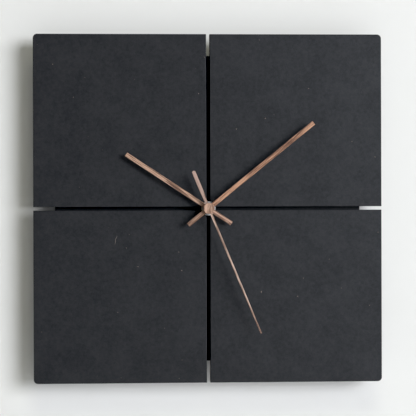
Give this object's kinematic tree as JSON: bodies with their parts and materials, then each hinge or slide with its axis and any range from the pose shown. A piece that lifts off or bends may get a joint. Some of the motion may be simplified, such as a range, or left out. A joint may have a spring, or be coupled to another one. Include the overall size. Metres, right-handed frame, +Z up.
{
  "type": "wall clock",
  "caption": "Square wall clock of four dark fibreboard tiles split by a cross-shaped gap, with slim walnut hands and a battery quartz movement set in a smaller backing board.",
  "frame": {"origin": "on the wall plane, at the middle of the wall screw's shank where it bears in the top of the hanger slot; the hands' axis is 117 mm below", "axes": "+X to the reader's right, +Y into the wall, +Z up"},
  "size_m": [0.3, 0.0405, 0.3],
  "materials": {
    "charcoal_tile": "matte",
    "black_board": "matte",
    "walnut": "satin",
    "zinc_steel": "satin",
    "polished_steel": "polished",
    "electrical_steel": "satin",
    "nickel_strip": "satin",
    "magnet": "satin",
    "aluminium": "satin",
    "brass": "satin",
    "copper_wire": "gloss",
    "battery_jacket": "satin",
    "case_plastic": "matte",
    "knob_plastic": "satin",
    "gear_plastic": "satin",
    "circuit_laminate": "satin",
    "potting_resin": "gloss",
    "rubber": "matte"
  },
  "bodies": {
    "clock_case": {"backing_board": "black_board", "tile_top_left": "charcoal_tile", "tile_top_right": "charcoal_tile", "tile_bottom_left": "charcoal_tile", "tile_bottom_right": "charcoal_tile", "tile_screws": "zinc_steel", "hanger_screws": "zinc_steel", "hanger_plate": "zinc_steel", "movement_case": "case_plastic", "movement_cover": "case_plastic", "centre_plate": "gear_plastic", "bridge_plate": "gear_plastic", "circuit_board": "circuit_laminate", "driver_chip": "potting_resin", "quartz_crystal": "polished_steel", "stator": "electrical_steel", "coil_core": "electrical_steel", "coil_bobbin": "gear_plastic", "coil_winding": "copper_wire", "battery": "battery_jacket", "contact_negative": "nickel_strip", "contact_positive": "nickel_strip", "threaded_bush": "brass", "rubber_gasket": "rubber", "washer": "brass", "hex_nut": "brass"},
    "second_hand_body": {"seconds_wheel": "gear_plastic", "seconds_arbor": "polished_steel", "second_hub": "brass", "second_hand": "walnut", "centre_cap": "walnut"},
    "minute_hand_body": {"minute_arbor": "brass", "minute_hub": "aluminium", "minute_hand": "walnut"},
    "hour_hand_body": {"hour_wheel": "gear_plastic", "hour_hub": "aluminium", "hour_hand": "walnut"},
    "rotor_body": {"rotor_magnet": "magnet", "rotor_pinion": "gear_plastic"},
    "fifth_wheel_body": {"fifth_wheel": "gear_plastic"},
    "third_wheel_body": {"third_wheel": "gear_plastic"},
    "centre_wheel_body": {"centre_wheel": "gear_plastic"},
    "minute_wheel_body": {"minute_wheel": "gear_plastic"},
    "setting_knob_body": {"setting_knob": "knob_plastic"}
  },
  "joints": [
    {"name": "second_hand_turn", "type": "hinge", "parent": "clock_case", "child": "second_hand_body", "pos_m": [0, 0, -0.117], "axis": [0, 1, 0], "continuous": true},
    {"name": "minute_hand_turn", "type": "hinge", "parent": "clock_case", "child": "minute_hand_body", "pos_m": [0, 0, -0.117], "axis": [0, 1, 0], "continuous": true},
    {"name": "hour_hand_turn", "type": "hinge", "parent": "clock_case", "child": "hour_hand_body", "pos_m": [0, 0, -0.117], "axis": [0, 1, 0], "continuous": true},
    {"name": "rotor_turn", "type": "hinge", "parent": "clock_case", "child": "rotor_body", "pos_m": [-0.00988, 0, -0.10278], "axis": [0, 1, 0], "continuous": true},
    {"name": "fifth_wheel_turn", "type": "hinge", "parent": "clock_case", "child": "fifth_wheel_body", "pos_m": [-0.00909, 0, -0.11175], "axis": [0, 1, 0], "continuous": true},
    {"name": "third_wheel_turn", "type": "hinge", "parent": "clock_case", "child": "third_wheel_body", "pos_m": [0.00883, 0, -0.1119], "axis": [0, 1, 0], "continuous": true},
    {"name": "centre_wheel_turn", "type": "hinge", "parent": "clock_case", "child": "centre_wheel_body", "pos_m": [0, 0, -0.117], "axis": [0, 1, 0], "continuous": true},
    {"name": "minute_wheel_turn", "type": "hinge", "parent": "clock_case", "child": "minute_wheel_body", "pos_m": [0.00248, 0, -0.10773], "axis": [0, 1, 0], "continuous": true},
    {"name": "setting_knob_turn", "type": "hinge", "parent": "clock_case", "child": "setting_knob_body", "pos_m": [0.00866, 0, -0.10037], "axis": [0, 1, 0], "continuous": true}
  ],
  "couplings": [
    {"joint": "fifth_wheel_turn", "follows": "second_hand_turn", "ratio": -6},
    {"joint": "rotor_turn", "follows": "second_hand_turn", "ratio": 30},
    {"joint": "third_wheel_turn", "follows": "second_hand_turn", "ratio": -0.13333},
    {"joint": "centre_wheel_turn", "follows": "second_hand_turn", "ratio": 0.016667},
    {"joint": "minute_wheel_turn", "follows": "minute_hand_turn", "ratio": -0.33333},
    {"joint": "hour_hand_turn", "follows": "minute_hand_turn", "ratio": 0.083333},
    {"joint": "setting_knob_turn", "follows": "minute_hand_turn", "ratio": 1}
  ]
}
